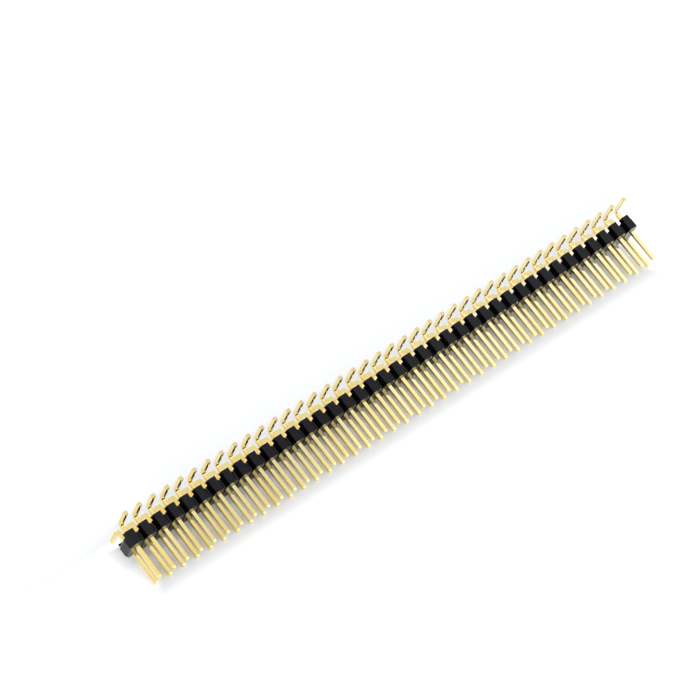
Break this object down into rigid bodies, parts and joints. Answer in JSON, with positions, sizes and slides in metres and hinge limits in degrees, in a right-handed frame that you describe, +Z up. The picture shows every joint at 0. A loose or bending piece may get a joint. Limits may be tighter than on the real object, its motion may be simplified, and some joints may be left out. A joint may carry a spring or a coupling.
{
  "type": "pin header",
  "caption": "Breakaway surface-mount pin header with two rows of square gold-plated pins in a black notched insulator, tails bent outward into solder feet.",
  "frame": {"origin": "middle of the footprint, in the plane that the feet are soldered to", "axes": "+X along the strip, +Y across the two rows, +Z up the mating posts"},
  "size_m": [0.1016, 0.0114, 0.0102],
  "materials": {
    "insulator": "satin black moulded heat-resistant nylon, faintly mottled, with a glossier mating face",
    "pins": "smooth drawn brass wire with bright pale gold plating"
  },
  "bodies": {
    "root": {"insulator": "insulator", "pins_01": "pins", "pins_02": "pins", "pins_03": "pins", "pins_04": "pins", "pins_05": "pins", "pins_06": "pins", "pins_07": "pins", "pins_08": "pins", "pins_09": "pins", "pins_10": "pins", "pins_11": "pins", "pins_12": "pins", "pins_13": "pins", "pins_14": "pins", "pins_15": "pins", "pins_16": "pins", "pins_17": "pins", "pins_18": "pins", "pins_19": "pins", "pins_20": "pins", "pins_21": "pins", "pins_22": "pins", "pins_23": "pins", "pins_24": "pins", "pins_25": "pins", "pins_26": "pins", "pins_27": "pins", "pins_28": "pins", "pins_29": "pins", "pins_30": "pins", "pins_31": "pins", "pins_32": "pins", "pins_33": "pins", "pins_34": "pins", "pins_35": "pins", "pins_36": "pins", "pins_37": "pins", "pins_38": "pins", "pins_39": "pins", "pins_40": "pins"}
  },
  "joints": []
}
